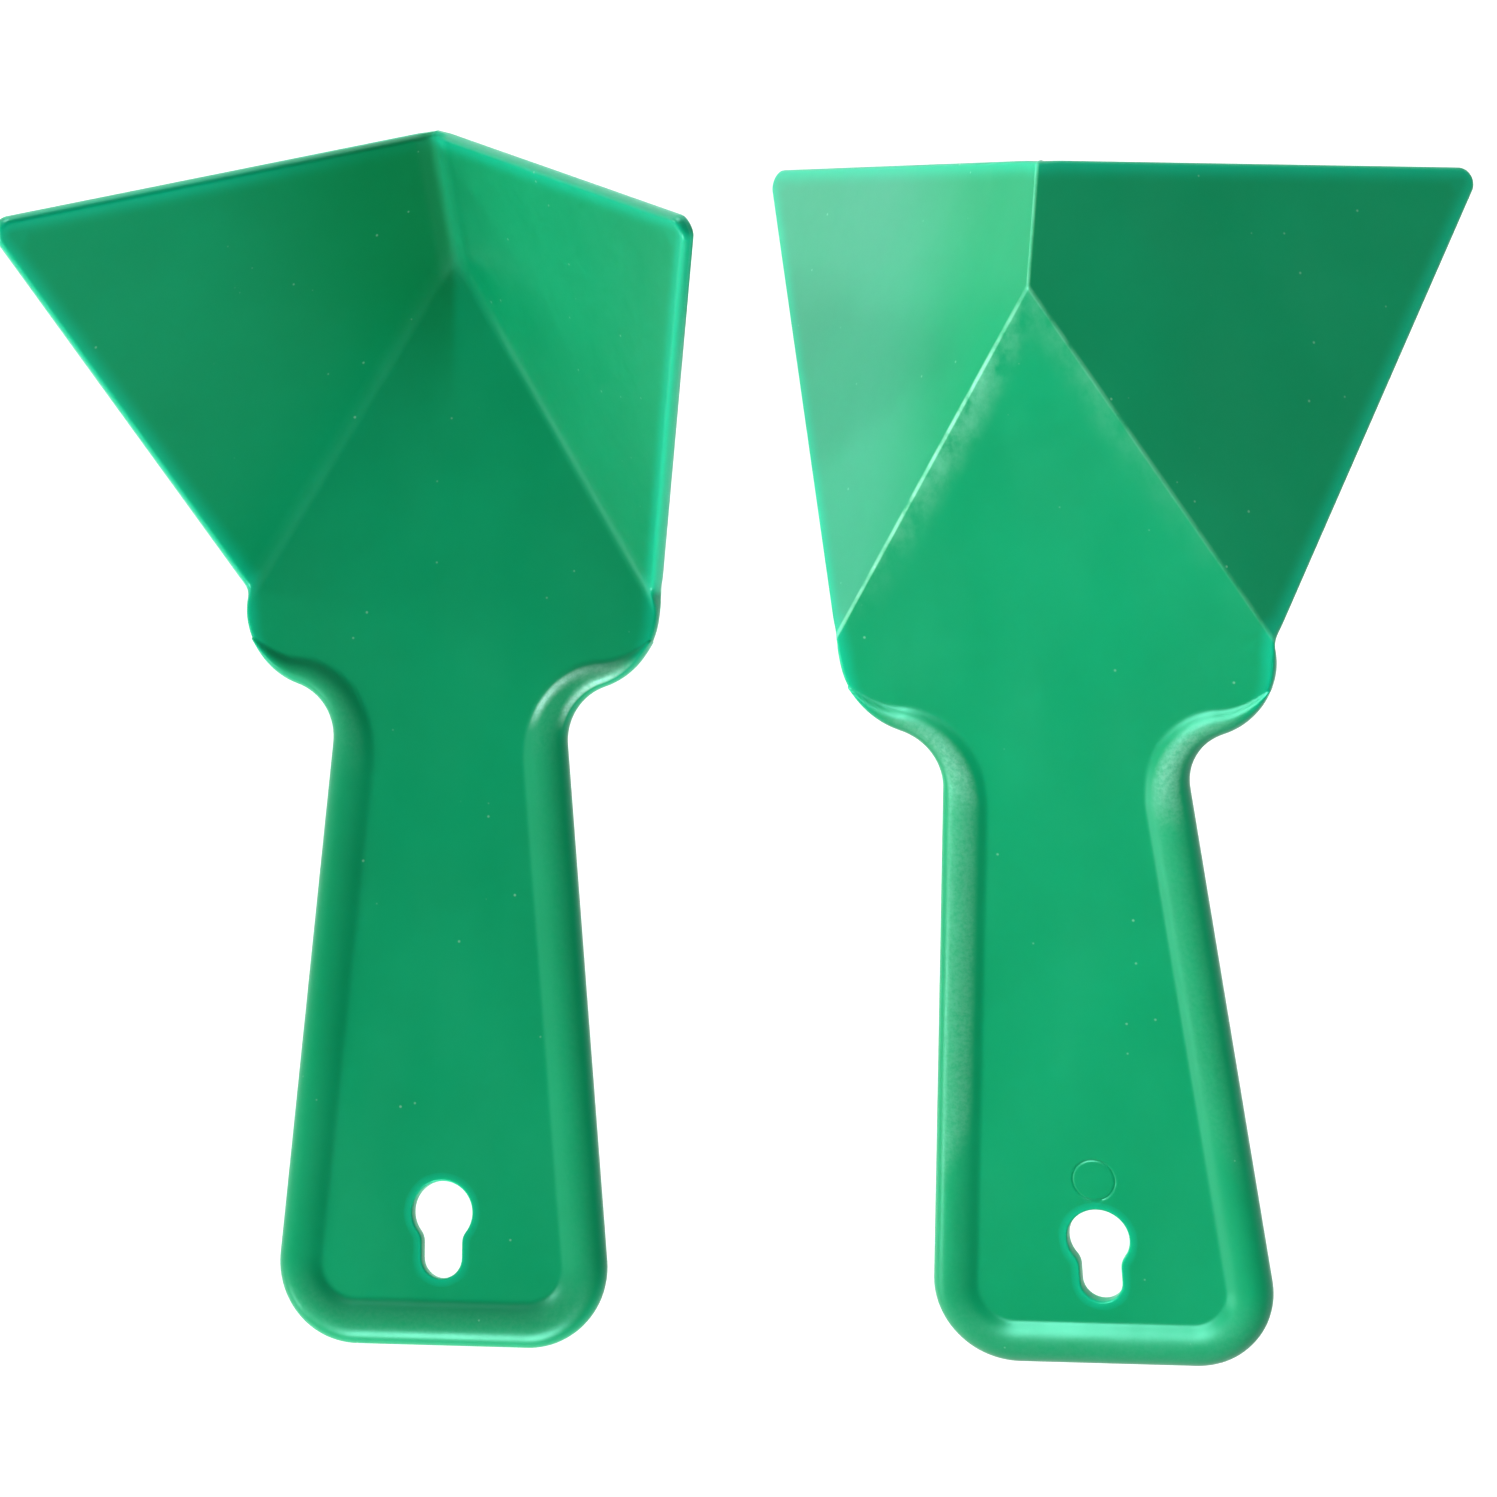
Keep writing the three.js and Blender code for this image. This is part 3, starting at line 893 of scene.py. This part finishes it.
def hang_light(light, towards, distance, lit, shading):
    """Puts up a light for the objects in lit, shaded by those in shading, or by all if it is empty."""
    holder = bpy.data.objects.new(light.name, light)
    holder.location = Vector(towards).normalized() * distance
    holder.rotation_euler = Vector(towards).to_track_quat("Z", "Y").to_euler()
    bpy.context.scene.collection.objects.link(holder)
    holder.light_linking.receiver_collection = collection_of(light.name + "_lit", lit)
    holder.light_linking.blocker_collection = collection_of(light.name + "_shading", shading)


def soft_light(name, towards, size, brightness, lit, shading):
    light = bpy.data.lights.new(name, "AREA")
    light.shape = "DISK"
    light.size = size
    light.energy = brightness * math.pi**2 * LIGHT_DISTANCE**2
    hang_light(light, towards, LIGHT_DISTANCE, lit, shading)


def even_light(name, towards, spread, brightness, lit, shading):
    light = bpy.data.lights.new(name, "SUN")
    light.angle = spread
    light.energy = brightness * math.pi
    hang_light(light, towards, LIGHT_DISTANCE, lit, shading)


both_scoops = [scoop_up, scoop_down]
# Each scoop has a key light of its own, so that neither throws its shadow across the other.
soft_light("key_up", (-0.33, -1.54, 1.16), 0.9, 1.95, [scoop_up], [scoop_up])
soft_light("key_down", (-0.714, 0.154, 2.04), 0.9, 2.2, [scoop_down], [scoop_down])
soft_light("edges_up", (-0.3, 1.5, 0.35), 0.9, 0.8, [scoop_up], [scoop_up])
soft_light("glint_front", (-0.85, -0.45, 0.32), 0.3, 0.2, both_scoops, [])
soft_light("glint_back", (-0.85, 0.43, 0.32), 0.3, 0.3, both_scoops, [])
even_light("floor_light", (-0.3, -0.35, 2.2), 0.5, 1.25, [floor], [floor])

CAMERA_TARGET = Vector((-0.0004, -0.0010, 0.020))
CAMERA_DISTANCE = 1.62
CAMERA_AZIMUTH = math.radians(92.06)
CAMERA_ELEVATION = math.radians(74.76)
CAMERA_ROLL = math.radians(-91.46)
CAMERA_LENS = 240.2

back = Vector((
    math.sin(CAMERA_AZIMUTH) * math.cos(CAMERA_ELEVATION),
    -math.cos(CAMERA_AZIMUTH) * math.cos(CAMERA_ELEVATION),
    math.sin(CAMERA_ELEVATION),
))
camera_data = bpy.data.cameras.new("camera")
camera_data.lens = CAMERA_LENS
camera_data.sensor_width = 36.0
camera_data.clip_start = 0.05
camera_data.clip_end = 20.0
camera = bpy.data.objects.new("camera", camera_data)
bpy.context.scene.collection.objects.link(camera)
level = Vector((0, 0, 1)).cross(back).normalized()
upright = back.cross(level)
right = level * math.cos(CAMERA_ROLL) + upright * math.sin(CAMERA_ROLL)
up = back.cross(right)
place = CAMERA_TARGET + back * CAMERA_DISTANCE
camera.matrix_world = Matrix((
    (right.x, up.x, back.x, place.x),
    (right.y, up.y, back.y, place.y),
    (right.z, up.z, back.z, place.z),
    (0, 0, 0, 1),
))
bpy.context.scene.camera = camera
bpy.context.scene.view_settings.view_transform = "Standard"
bpy.context.scene.view_settings.look = "None"
